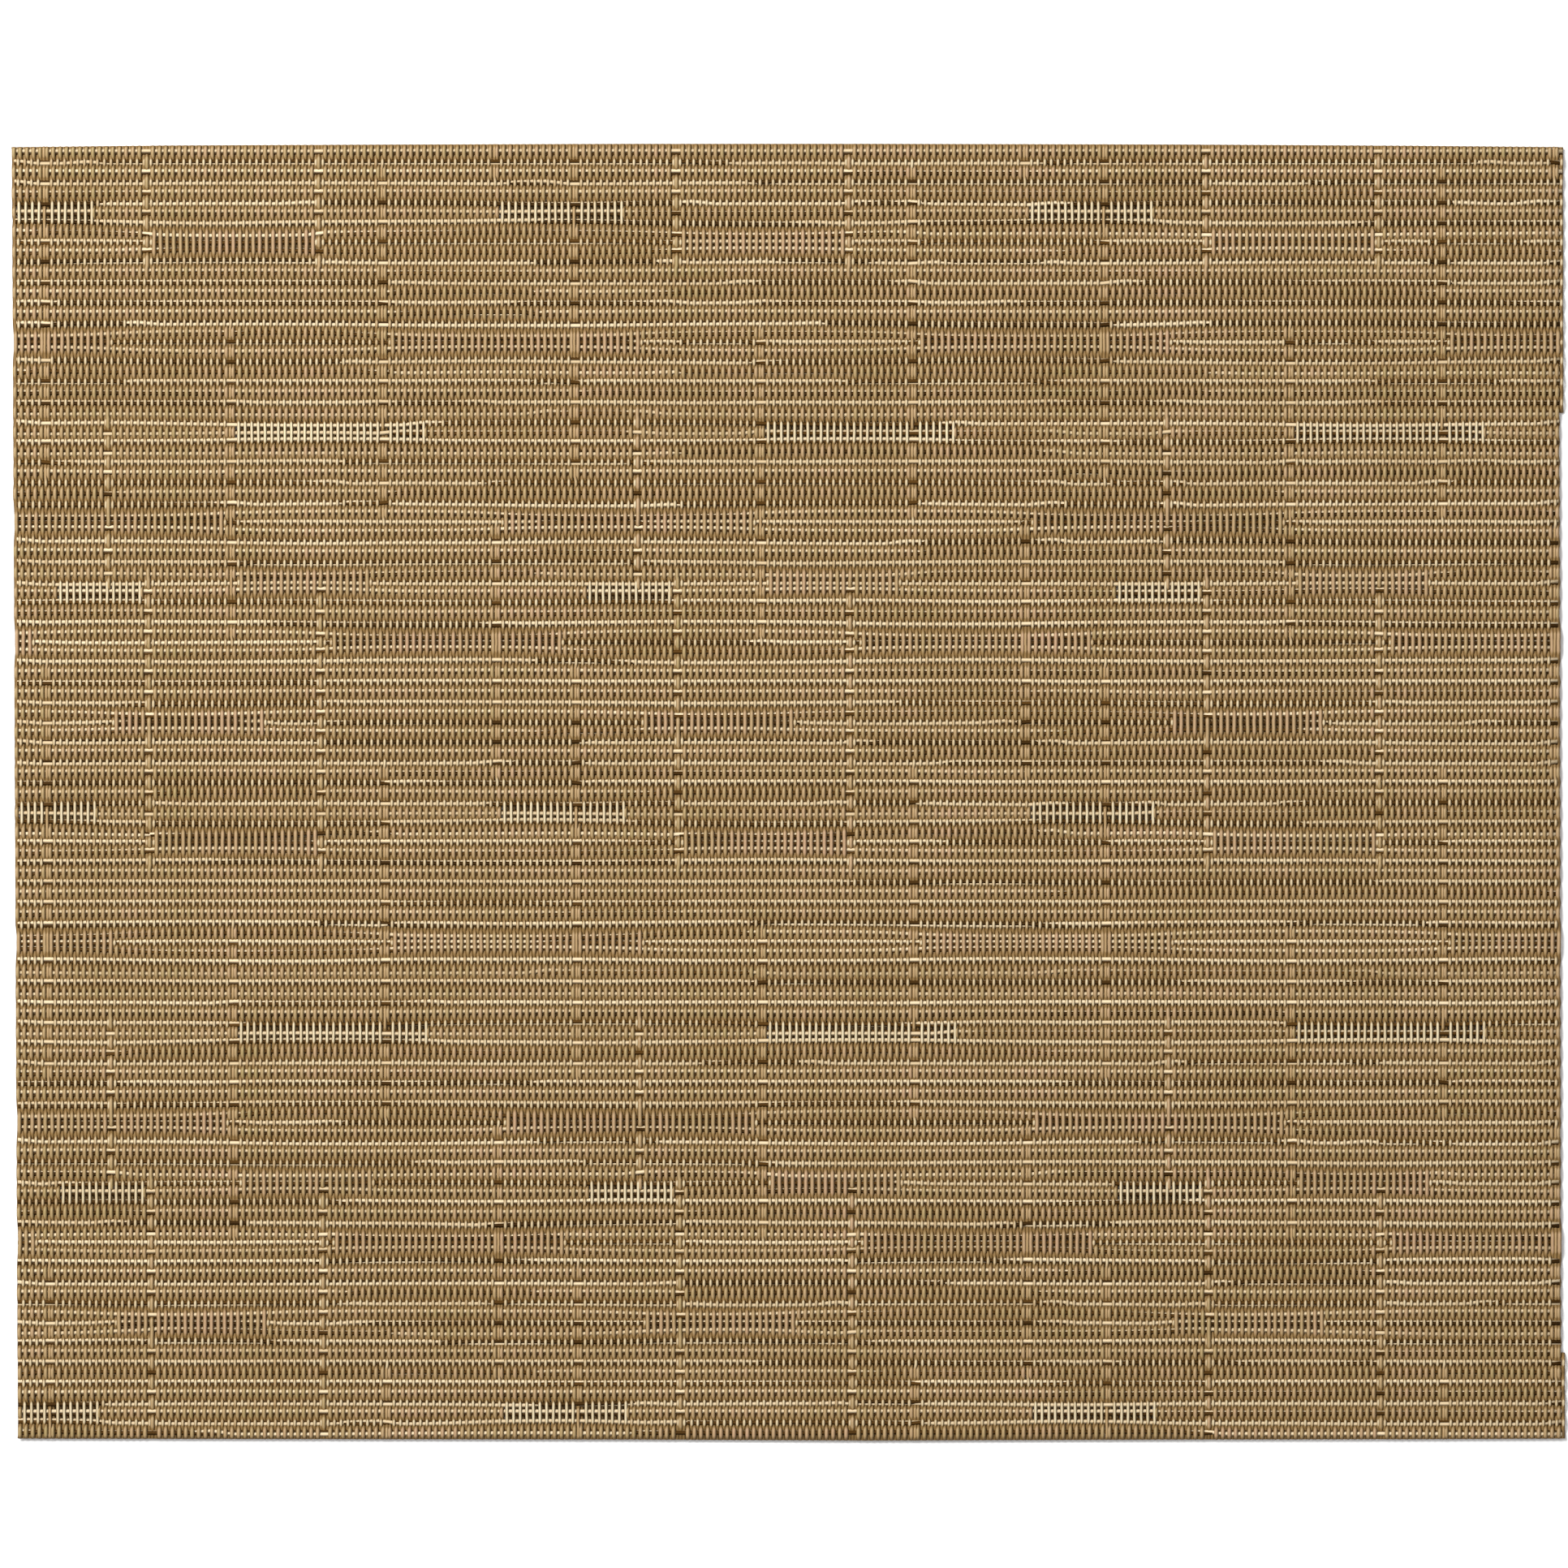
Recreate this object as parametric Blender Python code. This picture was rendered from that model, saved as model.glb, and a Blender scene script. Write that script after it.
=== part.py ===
"""A flat rectangular placemat woven from vinyl yarn, lying on a table.

Metres, +Z up. +X runs along the wefts, +Y along the warps. The origin is at the middle of the underside,
so the mat lies on z = 0. It is one cut piece of cloth with no hem or binding, so it is one solid.
"""

import bmesh
import bpy

# Driving dimensions
MAT_WIDTH = 0.4555
MAT_DEPTH = 0.380
THICKNESS = 0.0016
PICKS = 129  # rows of doubled weft, each a low ridge right across the mat
RIDGE_HEIGHT = 0.0003
EDGE_TO_PICK = 0.0016  # from the cut edge to the first and the last ridge

# How far each cut edge stands out from the plain rectangle, in millimetres.
# "along" is the share of the edge's length, from the left on the back and front edges and from the front
# on the left and right edges.
EDGE_COLUMNS = ("along", "left_mm", "right_mm", "front_mm", "back_mm")
EDGE_ROWS = (
    (0.00, -0.2, 0.7, 0.0, 0.0),
    (0.10, 0.0, 0.0, 0.1, 0.5),
    (0.25, -0.1, -0.5, 0.2, 0.8),
    (0.40, 0.0, -0.7, 0.3, 1.0),
    (0.55, 0.1, -0.7, 0.6, 1.0),
    (0.75, 0.3, -0.4, 0.3, 0.8),
    (0.90, 0.3, 0.2, 0.2, 0.4),
    (1.00, 1.2, 0.8, 0.0, 0.0),
)

YARN_COLOUR = (0.42, 0.28, 0.15, 1.0)
YARN_ROUGHNESS = 0.5


def edge_offset(side, along):
    """How far an edge stands out at this share of its length, read off the table in straight steps."""
    column = EDGE_COLUMNS.index(side)
    for low, high in zip(EDGE_ROWS, EDGE_ROWS[1:]):
        if along <= high[0]:
            share = (along - low[0]) / (high[0] - low[0])
            return (low[column] + share * (high[column] - low[column])) / 1000
    return EDGE_ROWS[-1][column] / 1000


def rows_across():
    """Each row of points from front to back as its share of the depth and its drop below the ridges' tops."""
    first = EDGE_TO_PICK / MAT_DEPTH
    pitch = (1 - 2 * first) / (PICKS - 1)
    rows = [(0.0, RIDGE_HEIGHT)]
    for pick in range(PICKS):
        rows.append((first + pick * pitch, 0.0))
        if pick < PICKS - 1:
            rows.append((first + (pick + 0.5) * pitch, RIDGE_HEIGHT))
    rows.append((1.0, RIDGE_HEIGHT))
    return rows


def on_the_mat(across, along):
    """The plan position of a point by its shares of the width and of the depth."""
    left = -MAT_WIDTH / 2 - edge_offset("left_mm", along)
    right = MAT_WIDTH / 2 + edge_offset("right_mm", along)
    front = -MAT_DEPTH / 2 - edge_offset("front_mm", across)
    back = MAT_DEPTH / 2 + edge_offset("back_mm", across)
    return left + across * (right - left), front + along * (back - front)


def ridged_sheet():
    """A grid of points bent to the mat's outline and ridges, with walls and a flat underside closed below it."""
    rows = rows_across()
    columns = [row[0] for row in EDGE_ROWS]
    sheet = bmesh.new()
    bmesh.ops.create_grid(
        sheet, x_segments=len(columns) - 1, y_segments=len(rows) - 1, size=1
    )
    points = sorted(sheet.verts, key=lambda v: (round(v.co.y, 6), v.co.x))
    for index, point in enumerate(points):
        along, drop = rows[index // len(columns)]
        across = columns[index % len(columns)]
        point.co.x, point.co.y = on_the_mat(across, along)
        point.co.z = THICKNESS - drop
    rim = [edge for edge in sheet.edges if edge.is_boundary]
    walls = bmesh.ops.extrude_edge_only(sheet, edges=rim)["geom"]
    for item in walls:
        if isinstance(item, bmesh.types.BMVert):
            item.co.z = 0.0
    lower_rim = [item for item in walls if isinstance(item, bmesh.types.BMEdge)]
    bmesh.ops.edgeloop_fill(sheet, edges=[e for e in lower_rim if e.is_boundary])
    bmesh.ops.recalc_face_normals(sheet, faces=sheet.faces)
    return sheet


def centre_in_plan(sheet):
    """Shifts the sheet so that the middle of its bounding box is over the origin."""
    for axis in (0, 1):
        places = [v.co[axis] for v in sheet.verts]
        middle = (min(places) + max(places)) / 2
        for v in sheet.verts:
            v.co[axis] -= middle


def yarn_material():
    material = bpy.data.materials.new("woven_vinyl")
    material.use_nodes = True
    shader = material.node_tree.nodes["Principled BSDF"]
    shader.inputs["Base Color"].default_value = YARN_COLOUR
    shader.inputs["Roughness"].default_value = YARN_ROUGHNESS
    shader.inputs["Metallic"].default_value = 0.0
    return material


for leftover in list(bpy.data.objects):
    bpy.data.objects.remove(leftover)

placemat = bpy.data.collections.new("placemat")
bpy.context.scene.collection.children.link(placemat)

cloth = ridged_sheet()
centre_in_plan(cloth)
mesh = bpy.data.meshes.new("mat")
cloth.to_mesh(mesh)
cloth.free()
mesh.materials.append(yarn_material())
mat = bpy.data.objects.new("mat", mesh)
placemat.objects.link(mat)
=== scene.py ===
"""A flat placemat woven from tan, cream and brown vinyl yarn, seen from straight above.

Everything is in metres in the CAD model's frame: +X along the wefts, +Y along the warps, z = 0 on the table.
Every yarn is a mesh tube that is woven over and under the others. The weave's figure, its solid strips and
its ladders of long floats, is charted for one repeat of 80 warp pairs and 60 picks. Which of a pick's
two yarns lies on top is charted too, for the whole mat.
"""

import math

import bpy
import numpy as np
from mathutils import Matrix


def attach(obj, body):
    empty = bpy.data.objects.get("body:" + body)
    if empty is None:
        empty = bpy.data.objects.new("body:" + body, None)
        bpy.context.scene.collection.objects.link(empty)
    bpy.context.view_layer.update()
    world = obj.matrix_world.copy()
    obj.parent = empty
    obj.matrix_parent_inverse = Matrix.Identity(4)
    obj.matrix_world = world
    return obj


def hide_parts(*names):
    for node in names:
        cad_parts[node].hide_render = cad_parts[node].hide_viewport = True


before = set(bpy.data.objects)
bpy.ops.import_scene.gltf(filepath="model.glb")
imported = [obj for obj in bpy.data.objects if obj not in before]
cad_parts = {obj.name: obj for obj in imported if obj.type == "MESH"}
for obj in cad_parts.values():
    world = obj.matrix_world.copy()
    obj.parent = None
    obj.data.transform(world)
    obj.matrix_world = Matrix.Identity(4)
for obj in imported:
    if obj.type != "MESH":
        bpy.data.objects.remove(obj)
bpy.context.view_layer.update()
MM = 0.001

# Doubled wefts
# Each pick is one cream and one dark brown vinyl yarn, thrown together and cut off just inside the side edges.
# The two lie side by side and roll slowly over each other, so a row shows a light line, a dark line or both.
# Where warps float over three picks the picks crowd together, and the rows beside them bend towards them.

PICKS = 129
PICK_PITCH = 2.944 * MM
FIRST_PICK_IN = 1.6 * MM
PAIRS = 234
PAIR_PITCH = 1.949 * MM
FIRST_PAIR_X = -227.75 * MM
REPEAT_PAIRS = 80
REPEAT_PICKS = 60
MID_HEIGHT = 0.79 * MM
WEFT_WIDTH = 1.15 * MM
WEFT_THICKNESS = 0.46 * MM
WEFT_APART = 0.52 * MM
WEFT_ROLL_HEIGHT = 0.15 * MM
WEFT_STEPS = 64
WEFT_SHORT = 0.8 * MM
BACK_MARGIN = 0.9 * MM
EDGE_BAND = 3 * MM

# Floats over three picks in one repeat: yarn, first pair, last pair, first pick and crowding.
# A pair number past 79 runs on into the next repeat. Crowding is the share of a pick's pitch by which the
# picks would close up if they were free.
FLOATS = (
    ("cream", 73, 91, 5, 0.45),
    ("cream", 33, 61, 27, 0.50),
    ("cream", 6, 18, 43, 0.40),
    ("tan", 21, 45, 8, 0.72),
    ("tan", 57, 94, 18, 1.00),
    ("tan", 74, 111, 36, 0.95),
    ("tan", 34, 53, 42, 0.75),
    ("tan", 48, 82, 48, 1.00),
    ("tan", 15, 37, 56, 0.75),
)

# Where the light yarn lies on top of the dark one, from pair to pair, on the picks that the cream warps cross.
LIGHT_RUNS = {
    1: "0-12 107-156 222-233", 3: "0-76 80-112 181-196", 5: "13-45 102-127 136-157 218-230",
    7: "13-79 120-136 172-203", 9: "0-19 100-136 165-180 207-214 228-233",
    11: "46-79 98-115 130-140 156-214 217-233", 13: "57-110 135-168 217-233",
    15: "0-5 57-75 99-113 137-150", 17: "0-4 18-122 166-180", 19: "94-100 113-135 175-192 205-215",
    21: "0-5 50-112 166-233", 23: "17-78 85-125 157-205 225-233", 25: "33-56 70-157 175-205",
    27: "0-62 142-233", 29: "0-112 113-141 157-165", 31: "8-50 95-192 193-220 222-233",
    33: "48-72 157-166 176-215", 35: "33-50 57-100 137-157 175-233", 37: "34-79 95-152 193-233",
    39: "0-135 157-173", 41: "0-33 95-192", 43: "0-233",
    45: "100-180", 47: "0-38 73-192", 49: "3-46 113-126", 51: "0-79 92-233", 53: "47-233",
    55: "0-18 47-133 207-233", 57: "0-15 37-46 118-150 198-222", 59: "0-46 86-127 157-233",
    61: "0-73 86-140 200-233", 63: "57-62 86-233", 65: "21-72 100-125 137-157 172-192",
    67: "13-20 57-92 127-153 195-233", 69: "0-20 47-95 127-140 166-180 216-233",
    71: "0-30 101-233", 73: "0-125 206-233", 75: "0-56 101-233", 77: "0-45 57-112 157-193 213-233",
    79: "16-79 95-215", 81: "0-233", 83: "0-112 178-200 216-233", 85: "0-33 62-233",
    87: "0-33 135-192", 89: "0-33 62-233", 91: "0-105 120-175 205-233", 93: "16-50 78-157 217-233",
    95: "0-15 34-40 60-112 135-233", 97: "34-48 193-233", 99: "0-79 96-170 193-205 216-233",
    101: "62-85 114-233", 103: "0-7 134-166 215-233", 105: "50-157 178-233",
    107: "0-15 35-72 101-150 165-233", 109: "3-46 102-127", 111: "0-46 78-126 150-180 207-233",
    113: "0-100 140-182 207-233", 115: "50-72 101-125 157-180 207-222", 117: "0-15 38-52 157-175",
    119: "0-20 40-65 128-205", 121: "0-112 157-165 186-200 207-233", 123: "0-79 137-157 181-233",
    125: "13-79 94-126 137-233", 127: "13-50 56-100 137-233",
}
# Where the dark yarn lies on top of the light one, on the picks that the tan warps cross.
DARK_RUNS = {
    2: "127-157", 4: "0-20 127-206", 6: "93-127", 8: "0-20 47-135", 10: "21-99 157-180 207-233",
    12: "57-79 157-181", 14: "57-79 98-215", 16: "57-79", 18: "33-57 95-233", 22: "0-56 100-181",
    24: "0-32 85-181 190-233", 26: "80-95", 28: "57-94 113-157 175-221", 30: "100-157", 32: "157-233",
    34: "0-16 57-192", 36: "0-33 73-112 153-233", 38: "175-192", 40: "78-94 136-175",
    42: "34-79 136-192 214-233", 44: "157-233", 46: "0-20 78-140", 48: "47-82", 50: "84-126",
    52: "128-206", 54: "134-157 193-233", 56: "95-181", 58: "80-94 157-195", 60: "135-206",
    62: "57-126", 64: "21-46 95-127 176-200", 66: "172-233", 68: "21-56 101-157",
    70: "0-20 80-100 157-175", 74: "157-233", 76: "80-101", 78: "0-56 80-112", 80: "0-56 137-175",
    82: "80-112 157-205", 86: "157-192", 88: "142-233", 90: "16-157", 92: "0-15", 96: "34-112 193-233",
    98: "78-112 193-215", 102: "0-15 95-113 157-215", 104: "101-127", 106: "0-20 101-180",
    108: "48-83 128-163 207-233", 110: "128-206", 112: "157-205", 114: "50-79 101-157", 116: "127-180",
    118: "22-57 128-180", 120: "206-233", 122: "0-79 128-233", 124: "157-233", 126: "172-233",
    128: "0-30 94-180",
}

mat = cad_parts["mat"]
on_table = 0.01 * MM
rim = np.array([v.co for v in mat.data.vertices if v.co.z < on_table])
half_width, half_depth = rim[:, 0].max(), rim[:, 1].max()


def edge_line(across, along, side):
    """The rim's points on one side of the mat, sorted along that side."""
    half_size = half_width if across == 0 else half_depth
    points = rim[side * rim[:, across] > half_size - EDGE_BAND]
    points = points[np.argsort(points[:, along])]
    return points[:, along], points[:, across]


left_edge = edge_line(0, 1, -1)
right_edge = edge_line(0, 1, 1)
front_edge = edge_line(1, 0, -1)
back_edge = edge_line(1, 0, 1)

stations = FIRST_PAIR_X + np.arange(0, PAIRS + 1, 2) * PAIR_PITCH
back_line = half_depth - BACK_MARGIN
level_picks = back_line - FIRST_PICK_IN - np.arange(PICKS) * PICK_PITCH


def repeats(first_pair, last_pair, first_pick, picks):
    """The places on the mat where a charted feature comes, as (first pair, last pair, first pick)."""
    for across in range(-1, 3):
        for down in range(-1, 3):
            first = first_pair + across * REPEAT_PAIRS
            last = last_pair + across * REPEAT_PAIRS
            pick = first_pick + down * REPEAT_PICKS
            if last >= 0 and first < PAIRS - 1 and pick < PICKS and pick + picks > 0:
                yield max(first, 0), min(last, PAIRS - 1), pick


def settled_picks():
    """Where each pick lies at each station, once crowded picks and stiff yarn have come to rest."""
    crowded = np.zeros((PICKS - 1, len(stations)))
    for _, first_pair, last_pair, first_pick, crowding in FLOATS:
        for first, last, pick in repeats(first_pair, last_pair, first_pick, 3):
            for gap in (pick, pick + 1):
                if 0 <= gap < PICKS - 1:
                    crowded[gap, first // 2 : last // 2 + 1] = crowding * PICK_PITCH
    pull = 1.0
    stiff = 20.0
    hold = 0.5
    passes = 700
    shift = np.zeros((PICKS, len(stations)))
    for _ in range(passes):
        wide = np.pad(shift, ((1, 1), (1, 1)), mode="edge")
        above, below = wide[:-2, 1:-1], wide[2:, 1:-1]
        beside = wide[1:-1, :-2] + wide[1:-1, 2:]
        closing = np.zeros_like(shift)
        closing[:-1] -= crowded
        closing[1:] += crowded
        shift = (pull * (above + below + closing) + stiff * beside) / (2 * pull + 2 * stiff + hold)
    return level_picks[:, None] + shift


pick_lines = settled_picks()
pick_gaps = np.pad(pick_lines[:-1] - pick_lines[1:], ((1, 1), (0, 0)), mode="edge")
least_gap = np.minimum(pick_gaps[:-1], pick_gaps[1:])


def pick_y(pick, x):
    return np.interp(x, stations, pick_lines[pick])


def lay_yarns(name, paths, side, widths, thickness, tone_of):
    """One mesh of closed tubes with a diamond section, each smooth, on a path of points.

    side is the direction in which the yarn is wide. widths and tone_of hold one value for each yarn, or one for
    each point of it. Each tube has its own strip in the UV map, with a small gap to the next.
    """
    gap = 0.04
    cap_end = 0.008
    points, rings, faces, tones, uvs = [], 0, [], [], []
    count = len(paths)
    for number, path in enumerate(paths):
        steps = np.gradient(path, axis=0)
        up = np.cross(steps, side)
        up /= np.linalg.norm(up, axis=1)[:, None]
        up *= np.sign(up[:, 2:3])
        out = np.outer(np.broadcast_to(widths[number], len(path)), side) / 2
        rise = up * thickness / 2
        ring = np.stack([path - out, path - rise, path + out, path + rise], axis=1)
        points.append(ring.reshape(-1, 3))
        n = len(path)
        first = rings * 4 + 4 * np.arange(n - 1)[:, None]
        corner = np.arange(4)[None, :]
        following = (corner + 1) % 4
        second = first + 4
        quads = np.stack([first + corner, first + following, second + following, second + corner], axis=2)
        caps = np.array([[3, 2, 1, 0], [4 * n - 4, 4 * n - 3, 4 * n - 2, 4 * n - 1]]) + rings * 4
        faces.append(np.concatenate([quads.reshape(-1, 4), caps]))
        rings += n
        tones.append(np.repeat(np.broadcast_to(tone_of[number], n), 4))
        low = (number + gap) / count
        high = (number + 1 - gap) / count
        run = np.concatenate([[0], np.cumsum(np.linalg.norm(np.diff(path, axis=0), axis=1))])
        u = 0.01 + 0.98 * run / run[-1]
        v = low + (high - low) * np.arange(5) / 4
        u0 = np.broadcast_to(u[:-1, None], (n - 1, 4))
        u1 = np.broadcast_to(u[1:, None], (n - 1, 4))
        v0 = np.broadcast_to(v[None, :-1], (n - 1, 4))
        v1 = np.broadcast_to(v[None, 1:], (n - 1, 4))
        strip = np.stack([np.stack([u0, v0], 2), np.stack([u0, v1], 2), np.stack([u1, v1], 2),
                          np.stack([u1, v0], 2)], axis=2)
        uvs.append(strip.reshape(-1, 2))
        near = np.array([[0.001, low], [0.001, high], [cap_end, high], [cap_end, low]])
        far = near + (0.991, 0)
        uvs.extend([near, far])
    mesh = bpy.data.meshes.new(name)
    mesh.from_pydata(np.concatenate(points), [], np.concatenate(faces))
    mesh.uv_layers.new(name="OFBake").data.foreach_set("uv", np.concatenate(uvs).ravel())
    tone = mesh.attributes.new("tone", "FLOAT", "POINT")
    tone.data.foreach_set("value", np.concatenate(tones))
    mesh.shade_smooth()
    piece = bpy.data.objects.new(name, mesh)
    bpy.context.collection.objects.link(piece)
    return piece


def slow_drift(rng, steps, knots, size):
    """A smooth random line, as an array of that many steps."""
    marks = rng.normal(0, size, knots)
    at = np.linspace(0, knots - 1, steps)
    low = np.clip(at.astype(int), 0, knots - 2)
    share = at - low
    share = share * share * (3 - 2 * share)
    return marks[low] * (1 - share) + marks[low + 1] * share


def light_share(pick, x):
    """How much the light yarn is on top of this pick at each x, from 0 to 1."""
    pairs = (x - FIRST_PAIR_X) / PAIR_PITCH
    charted = LIGHT_RUNS if pick % 2 else DARK_RUNS
    change = 4
    share = np.zeros(len(x))
    for run in charted.get(pick, "").split():
        first, last = (float(pair) for pair in run.split("-"))
        rise = np.clip((pairs - first) / change + 0.5, 0, 1)
        fall = np.clip((last - pairs) / change + 0.5, 0, 1)
        share = np.maximum(share, rise * fall)
    return share if pick % 2 else 1 - share


least_room = 0.3
drift_knots = 17
drift_size = 0.3
weft_random = np.random.default_rng(12)
weft_paths = []
weft_tones = []
for pick in range(PICKS):
    middle = pick_lines[pick, len(stations) // 2]
    start = np.interp(middle, *left_edge) + WEFT_SHORT
    end = np.interp(middle, *right_edge) - WEFT_SHORT
    x = np.linspace(start, end, WEFT_STEPS + 1)
    y = pick_y(pick, x)
    light = light_share(pick, x)
    if pick % 2:
        dark_turn = weft_random.choice((-0.5, -0.35, -0.7))
        light_turn = weft_random.choice((0.45, 0.20, 0.80))
    else:
        dark_turn = weft_random.choice((-0.3, -0.5))
        light_turn = weft_random.choice((0.14, 0.14, 0.86))
    turn = dark_turn + (light_turn - dark_turn) * light
    room = np.clip(np.interp(x, stations, least_gap[pick]) / PICK_PITCH, least_room, 1)
    roll = turn * math.pi * room + slow_drift(weft_random, WEFT_STEPS + 1, drift_knots, drift_size)
    apart = WEFT_APART * room
    for colour, sign in (("cream", 1), ("brown", -1)):
        path = np.stack([x, y + sign * apart * np.cos(roll),
                         MID_HEIGHT + sign * WEFT_ROLL_HEIGHT * np.sin(roll)], axis=1)
        weft_paths.append(path)
        weft_tones.append((0.0 if colour == "cream" else 2.0) + weft_random.uniform(0, 1))

weft_widths = [WEFT_WIDTH] * len(weft_paths)
wefts = lay_yarns("wefts", weft_paths, (0, 1, 0), weft_widths, WEFT_THICKNESS, weft_tones)


class Sum:
    """A shader socket that takes Python arithmetic, so that an expression adds its own Math nodes."""

    def __init__(self, tree, socket):
        self.tree = tree
        self.socket = socket

    def maths(self, operation, *values):
        node = self.tree.nodes.new("ShaderNodeMath")
        node.operation = operation
        for place, value in enumerate(values):
            if isinstance(value, Sum):
                self.tree.links.new(value.socket, node.inputs[place])
            else:
                node.inputs[place].default_value = value
        return Sum(self.tree, node.outputs[0])

    def __add__(self, other):
        return self.maths("ADD", self, other)

    def __sub__(self, other):
        return self.maths("SUBTRACT", self, other)

    def __mul__(self, other):
        return self.maths("MULTIPLY", self, other)

    def node(self, kind, settings=(), **sockets):
        """A new node of that kind, with its settings made first and then its sockets filled or linked."""
        made = self.tree.nodes.new(kind)
        for setting, value in dict(settings).items():
            setattr(made, setting, value)
        for name, value in sockets.items():
            socket = made.inputs[name.replace("_", " ")]
            if isinstance(value, Sum):
                self.tree.links.new(value.socket, socket)
            else:
                socket.default_value = value
        return made

    def blended(self, share, colour):
        """This colour where share is 1, and the plain colour given where it is 0."""
        mix = self.tree.nodes.new("ShaderNodeMix")
        mix.data_type = "RGBA"
        self.tree.links.new(share.socket, mix.inputs[0])
        mix.inputs[6].default_value = (*colour, 1)
        self.tree.links.new(self.socket, mix.inputs[7])
        return Sum(self.tree, mix.outputs[2])


def vinyl(name, colours, painted_shade_colour, painted_shade_heights):
    """Satin vinyl yarn, from its dullest to its palest shade, with painted shade that darkens it as it sinks
    between two heights.
    """
    material = bpy.data.materials.new(name)
    material.use_nodes = True
    tree = material.node_tree
    shader = tree.nodes["Principled BSDF"]
    maker = Sum(tree, None)
    tone = Sum(tree, maker.node("ShaderNodeAttribute", {"attribute_name": "tone"}).outputs["Fac"])
    place = Sum(tree, maker.node("ShaderNodeTexCoord").outputs["Object"])
    height = Sum(tree, maker.node("ShaderNodeSeparateXYZ", Vector=place).outputs["Z"])
    cloud = Sum(tree, maker.node("ShaderNodeTexNoise", Vector=place, Scale=30.0, Detail=2.0).outputs["Fac"])
    grain = Sum(tree, maker.node("ShaderNodeTexNoise", Vector=place, Scale=700.0, Detail=2.0).outputs["Fac"])
    ramp = maker.node("ShaderNodeValToRGB", Fac=tone * 0.6 + cloud * 0.9 + grain * 0.3 - 0.4)
    stops = ramp.color_ramp.elements
    for extra in colours[2:]:
        stops.new(0.5)
    for number, (stop, colour) in enumerate(zip(stops, colours)):
        stop.position = number / (len(colours) - 1)
        stop.color = (*colour, 1)
    # Painted shade: below the higher of these heights the yarn fades to the dark colour, standing in for the
    # shade between its neighbours.
    low, high = painted_shade_heights
    clear_of_painted_shade = maker.node("ShaderNodeMapRange", {"interpolation_type": "SMOOTHSTEP"}, Value=height,
                      From_Min=low, From_Max=high)
    shade = Sum(tree, ramp.outputs["Color"]).blended(Sum(tree, clear_of_painted_shade.outputs["Result"]), painted_shade_colour)
    tree.links.new(shade.socket, shader.inputs["Base Color"])
    shader.inputs["Roughness"].default_value = 0.5
    shader.inputs["Specular IOR Level"].default_value = 0.3
    bump = maker.node("ShaderNodeBump", Height=grain, Distance=0.00005, Strength=0.4)
    tree.links.new(bump.outputs["Normal"], shader.inputs["Normal"])
    return material


def linear(red, green, blue):
    """A screen colour from 0 to 255 as the linear colour that Blender's materials take."""
    return tuple(((c / 255 + 0.055) / 1.055) ** 2.4 for c in (red, green, blue))


weft_vinyl = bpy.data.materials.new("weft_vinyl")
weft_vinyl.use_nodes = True
tree = weft_vinyl.node_tree
maker = Sum(tree, None)
tone = Sum(tree, maker.node("ShaderNodeAttribute", {"attribute_name": "tone"}).outputs["Fac"])
place = Sum(tree, maker.node("ShaderNodeTexCoord").outputs["Object"])
cloud = Sum(tree, maker.node("ShaderNodeTexNoise", Vector=place, Scale=60.0, Detail=3.0).outputs["Fac"])
ramp = maker.node("ShaderNodeValToRGB", Fac=tone * 0.3333 + (cloud - 0.5) * 0.12)
# Painted shade: below these heights each weft fades to a mid brown, so a pick's lower yarn and the flanks of
# both are darker.
height = Sum(tree, maker.node("ShaderNodeSeparateXYZ", Vector=place).outputs["Z"])
clear_of_painted_shade = maker.node("ShaderNodeMapRange", {"interpolation_type": "SMOOTHSTEP"}, Value=height,
                  From_Min=0.60 * MM, From_Max=0.92 * MM)
stops = ramp.color_ramp.elements
for at in (0.33, 0.66):
    stops.new(at)
for stop, colour, at in zip(
    stops,
    (linear(190, 168, 132), linear(221, 201, 167), linear(50, 32, 8), linear(80, 54, 20)),
    (0.0, 0.36, 0.64, 1.0),
):
    stop.position = at
    stop.color = (*colour, 1)
# The mid brown of the painted shade on the wefts.
shade = Sum(tree, ramp.outputs["Color"]).blended(Sum(tree, clear_of_painted_shade.outputs["Result"]), linear(84, 58, 28))
shader = tree.nodes["Principled BSDF"]
tree.links.new(shade.socket, shader.inputs["Base Color"])
shader.inputs["Roughness"].default_value = 0.45
shader.inputs["Specular IOR Level"].default_value = 0.05
wefts.data.materials.append(weft_vinyl)
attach(wefts, "root")
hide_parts("mat")

# Tan warps
# Every second warp is a tan vinyl yarn that passes over one pick and under the next.
# In a solid strip the middle one of three yarns stays on top between the bars. In a ladder the tan or the
# cream yarns float over three picks.

CREST_WIDTHS = {"tan": 1.22 * MM, "cream": 0.95 * MM}
DIP_WIDTH = 1.56 * MM
WARP_THICKNESS = 0.50 * MM
CREST = (WEFT_THICKNESS + WARP_THICKNESS) / 2
EDGE_CLEAR = 0.05 * MM
LEAN_LEFT = 1.8 * MM
LEAN_RIGHT = 0.6 * MM

# Solid strips in one repeat, each three warps wide: middle yarn, pair, first bar, last bar, bars left out and
# bars added. Bars of bare weft come on every second pick from the first to the last.
STRIPS = (
    ("cream", 4, 53, 91, (67, 79), ()),
    ("tan", 20, 44, 70, (58,), ()),
    ("cream", 32, 19, 47, (37, 43), ()),
    ("tan", 14, 28, 42, (36,), ()),
    ("tan", 46, 44, 70, (), ()),
    ("cream", 55, 3, 35, (19, 27), (28,)),
    ("cream", 72, 39, 61, (49,), ()),
)


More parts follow.
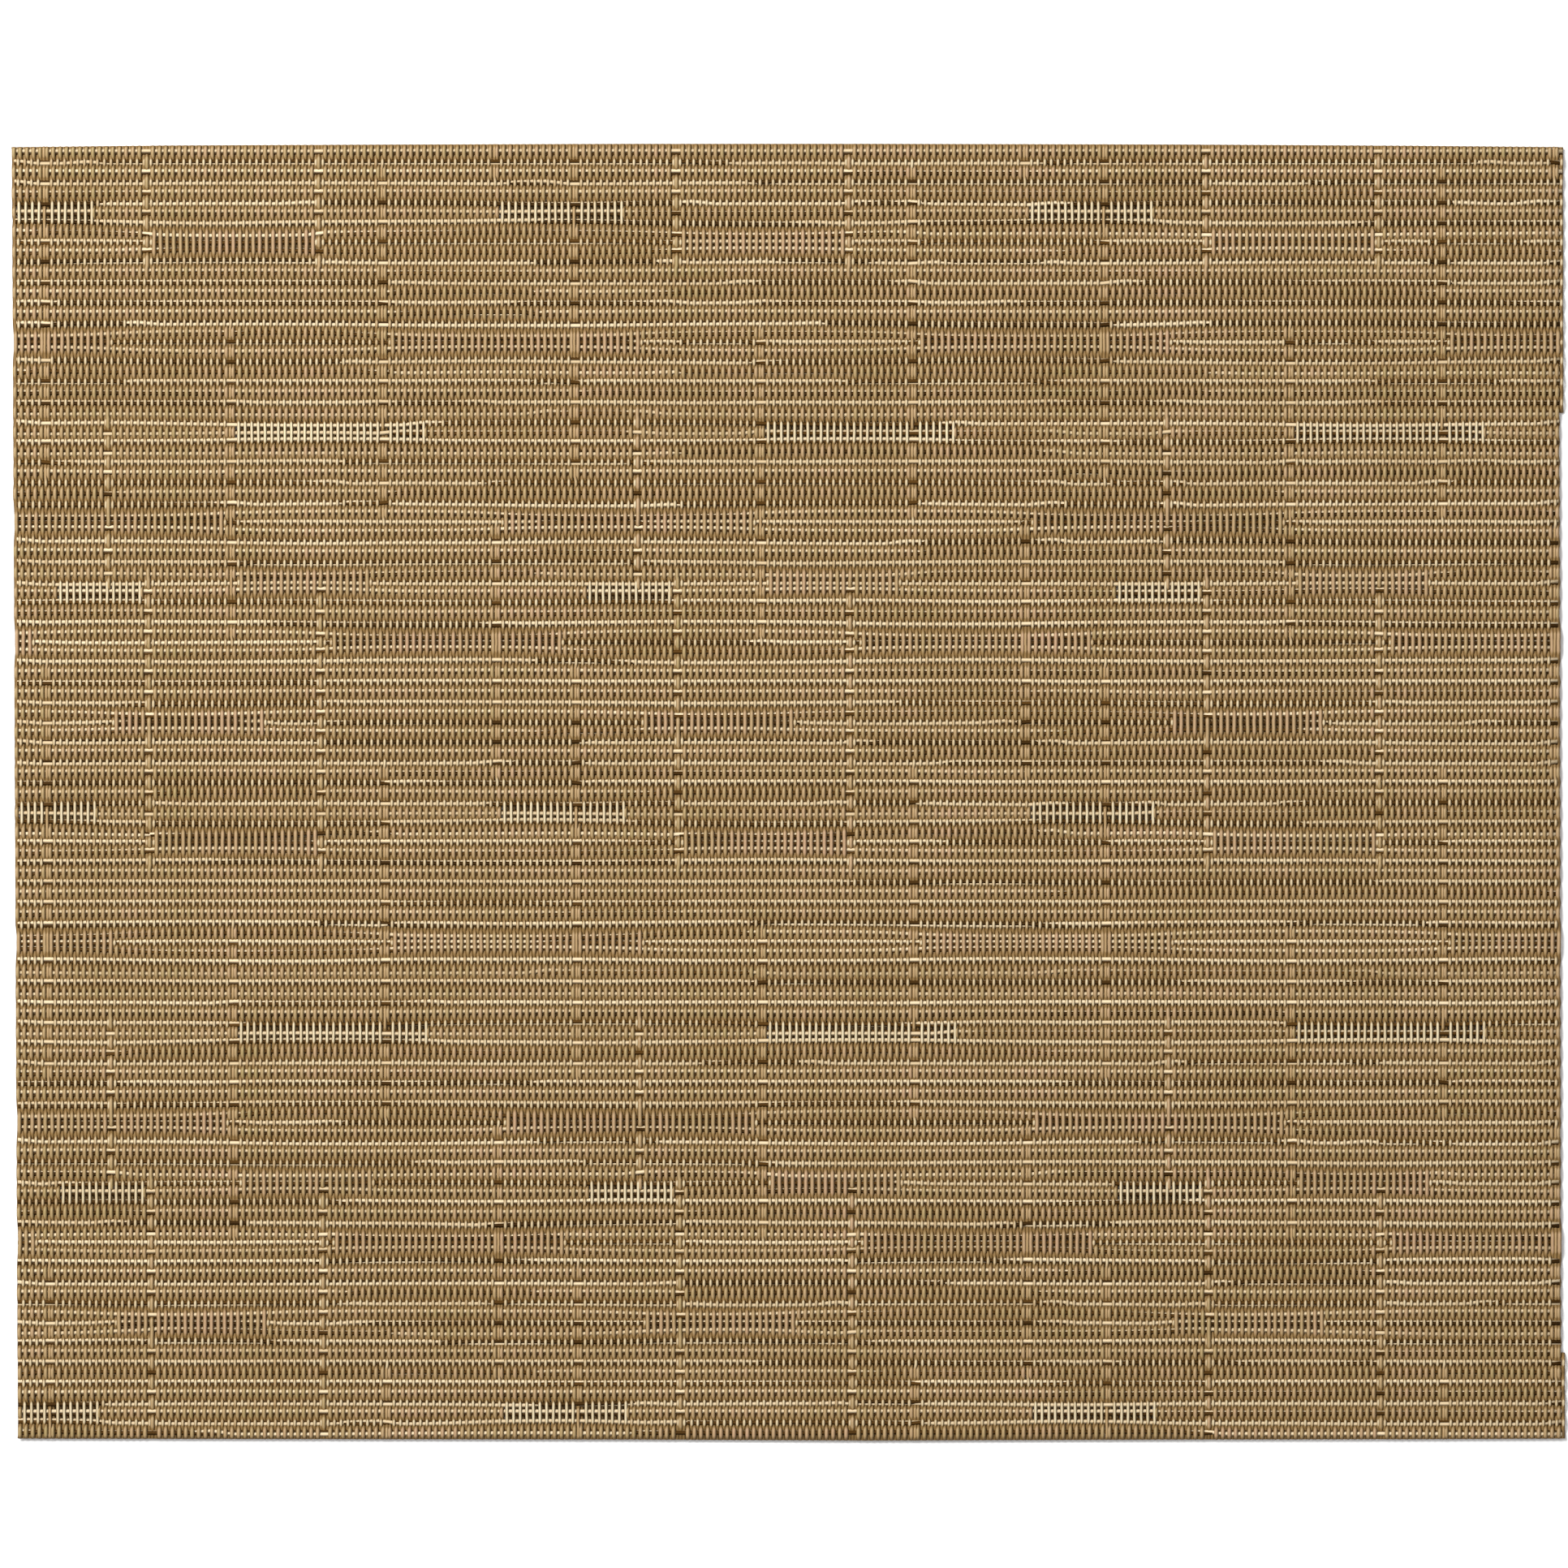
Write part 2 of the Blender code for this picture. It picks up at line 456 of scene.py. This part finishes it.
def lifting_plan():
    """Whether each tan and cream warp is over each pick, and which part of the figure it is in there."""
    over = {"tan": np.zeros((PAIRS, PICKS), bool), "cream": np.zeros((PAIRS, PICKS), bool)}
    place = {"tan": np.full((PAIRS, PICKS), "plain"), "cream": np.full((PAIRS, PICKS), "plain")}
    over["tan"][:, 0::2] = True
    over["cream"][:, 1::2] = True
    for yarn, first_pair, last_pair, first_pick, _ in FLOATS:
        other, ahead = ("cream", 0) if yarn == "tan" else ("tan", 1)
        for first, last, pick in repeats(first_pair, last_pair, first_pick, 3):
            if 0 <= pick + 1 < PICKS:
                over[yarn][first : last + 1, pick + 1] = True
                over[other][first + ahead : last + ahead, pick + 1] = False
            for floated in range(max(pick, 0), min(pick + 3, PICKS)):
                place[yarn][first : last + 1, floated] = "float"
    for yarn, pair, first_bar, last_bar, left_out, added in STRIPS:
        bars = {*range(first_bar, last_bar + 1, 2), *added} - {*left_out}
        for middle, _, top in repeats(pair, pair, first_bar - 1, last_bar - first_bar + 3):
            for pick in range(top, top + last_bar - first_bar + 3):
                if 0 <= pick < PICKS:
                    over[yarn][middle, pick] = pick - top + first_bar - 1 not in bars
                    place[yarn][middle, pick] = "strip"
    return over, place


over, place_in_weave = lifting_plan()


def warp_x(yarn, pair, y):
    """How far right a warp stands at y: the warps lean a little, more at the left than at the right."""
    start = FIRST_PAIR_X + (pair + (0.0 if yarn == "tan" else 0.5)) * PAIR_PITCH
    share = (start - FIRST_PAIR_X) / (PAIRS * PAIR_PITCH)
    down = 0.5 - y / (2 * half_depth)
    return start + down * (LEAN_LEFT + (LEAN_RIGHT - LEAN_LEFT) * share)


def warp_paths(yarn, pairs, rng):
    """The paths of one colour's warps, each cut off where it leaves the mat's outline."""
    unevenness = 0.03 * MM
    most_own_tone = 0.35
    fewest_points = 6
    if yarn == "tan":
        sway = {"plain": -0.19 * MM, "float": 0.12 * MM, "strip": 0}
        flat = {"plain": 0.30, "float": 0.30, "strip": 0.40}
        tone = {"plain": 0.0, "float": 0.2, "strip": 0.0}
    else:
        sway = {"plain": 0.19 * MM, "float": 0.40 * MM, "strip": 0}
        flat = {"plain": 0.15, "float": 0.06, "strip": 0.40}
        tone = {"plain": 0.0, "float": 0.4, "strip": -0.8}
    paths, tones = [], []
    for pair in pairs:
        x_middle = warp_x(yarn, pair, 0)
        lines = np.array([pick_y(pick, x_middle) for pick in range(PICKS)])
        gaps = -np.diff(lines)
        before = np.concatenate([[gaps[0]], gaps])
        after = np.concatenate([gaps, [gaps[-1]]])
        aside = rng.normal(0, unevenness)
        own_tone = rng.uniform(0, most_own_tone)
        xs, ys, zs, ts = [], [], [], []
        for pick in range(PICKS):
            up = over[yarn][pair, pick]
            part = place_in_weave[yarn][pair, pick]
            swayed = aside + rng.normal(0, unevenness) + (sway[part] if up else 0)
            z = MID_HEIGHT + (CREST if up else -CREST)
            reach = flat[part] * min(before[pick], after[pick])
            for y in (lines[pick] + reach, lines[pick] - reach) if up else (lines[pick],):
                xs.append(warp_x(yarn, pair, y) + swayed)
                ys.append(y)
                zs.append(z)
                ts.append(own_tone + tone[part])
        xs = np.array([xs[0], *xs, xs[-1]])
        ys = np.array([np.interp(xs[0], *back_edge), *ys, np.interp(xs[-1], *front_edge)])
        zs = np.array([MID_HEIGHT, *zs, MID_HEIGHT])
        right_of_left = xs > np.interp(ys, *left_edge) + EDGE_CLEAR
        left_of_right = xs < np.interp(ys, *right_edge) - EDGE_CLEAR
        inside = right_of_left & left_of_right
        ts = np.array([ts[0], *ts, ts[-1]])
        points = np.stack([xs, ys, zs], axis=1)
        breaks = np.flatnonzero(np.diff(np.concatenate([[0], inside.astype(int), [0]])))
        for start, end in zip(breaks[::2], breaks[1::2]):
            if end - start >= fewest_points:
                paths.append(points[start:end])
                tones.append(ts[start:end])
    return paths, tones


def warp_piece(yarn, side, pairs, seed, material):
    rng = np.random.default_rng(seed)
    paths, tones = warp_paths(yarn, pairs, rng)
    widths = [np.where(path[:, 2] > MID_HEIGHT, CREST_WIDTHS[yarn], DIP_WIDTH) for path in paths]
    piece = lay_yarns(f"warps_{yarn}_{side}", paths, (1, 0, 0), widths, WARP_THICKNESS, tones)
    piece.data.materials.append(material)
    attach(piece, "root")
    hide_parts("mat")
    return piece


TAN_SHADES = (linear(148, 128, 84), linear(158, 132, 94), linear(168, 136, 106), linear(176, 140, 118))
# Painted shade: the brown that the tan yarn fades to where it lies low between its neighbours.
TAN_PAINTED_SHADE = linear(120, 92, 50)
tan_vinyl = vinyl("tan_vinyl", TAN_SHADES, TAN_PAINTED_SHADE, (1.00 * MM, 1.48 * MM))
tan_left = warp_piece("tan", "left", range(PAIRS // 2), 3, tan_vinyl)
tan_right = warp_piece("tan", "right", range(PAIRS // 2, PAIRS), 4, tan_vinyl)

# Cream warps
# The warps between them are cream and go over the picks that the tan ones go under. Each shows as a short
# pale dash between two brown gaps, its sunk parts darkened by painted shade, and its floats over three picks are
# the mat's brightest bars.

CREAM_SHADES = (linear(160, 132, 92), linear(190, 172, 138), linear(202, 187, 155), linear(222, 206, 168))
# Painted shade: the brown that the cream yarn fades to where it lies low between its neighbours.
CREAM_PAINTED_SHADE = linear(124, 96, 54)
cream_vinyl = vinyl("cream_vinyl", CREAM_SHADES, CREAM_PAINTED_SHADE, (1.20 * MM, 1.46 * MM))
cream_left = warp_piece("cream", "left", range(PAIRS // 2), 5, cream_vinyl)
cream_right = warp_piece("cream", "right", range(PAIRS // 2, PAIRS), 6, cream_vinyl)

# Floor
# A plain white surface just under the mat, lit so that it is as white as the photograph's ground.

FLOOR_SIZE = 8.0
floor_mesh = bpy.data.meshes.new("floor")
half = FLOOR_SIZE / 2
corners = [(-half, -half, 0), (half, -half, 0), (half, half, 0), (-half, half, 0)]
floor_mesh.from_pydata(corners, [], [(0, 1, 2, 3)])
floor = bpy.data.objects.new("floor", floor_mesh)
floor.location.z = -0.0002
bpy.context.collection.objects.link(floor)
floor_paint = bpy.data.materials.new("floor_paint")
floor_paint.use_nodes = True
floor_paint.node_tree.nodes["Principled BSDF"].inputs["Base Color"].default_value = (0.9, 0.9, 0.9, 1)
floor_paint.node_tree.nodes["Principled BSDF"].inputs["Roughness"].default_value = 0.9
floor_mesh.materials.append(floor_paint)

# Light
# Even white light from all round, and a large soft lamp beyond the back left corner that gives the yarns their
# shape. It makes the left side a little brighter than the right.

world = bpy.data.worlds.new("studio")
bpy.context.scene.world = world
world.use_nodes = True
world.node_tree.nodes["Background"].inputs["Color"].default_value = (1, 1, 1, 1)
world.node_tree.nodes["Background"].inputs["Strength"].default_value = 0.61
lamp_data = bpy.data.lights.new("soft_lamp", "AREA")
lamp_data.shape = "DISK"
lamp_data.size = 1.2
lamp_data.energy = 80
lamp = bpy.data.objects.new("soft_lamp", lamp_data)
lamp.location = (-1.1, 1.2, 1.7)
lamp.rotation_euler = (-lamp.location).to_track_quat("-Z", "Y").to_euler()
bpy.context.collection.objects.link(lamp)
bpy.context.scene.view_settings.view_transform = "Standard"

# Camera
# Straight above the mat with a long lens, framed as in the photograph.

FRAME_WIDTH = 0.4616
CAMERA_HEIGHT = 3.0
camera_data = bpy.data.cameras.new("camera")
camera_data.sensor_width = 36
camera_data.lens = camera_data.sensor_width * CAMERA_HEIGHT / FRAME_WIDTH
camera_data.clip_start = 0.1
camera_data.clip_end = 50
camera = bpy.data.objects.new("camera", camera_data)
camera.location = (-0.0012, 0.0024, CAMERA_HEIGHT)
bpy.context.collection.objects.link(camera)
bpy.context.scene.camera = camera
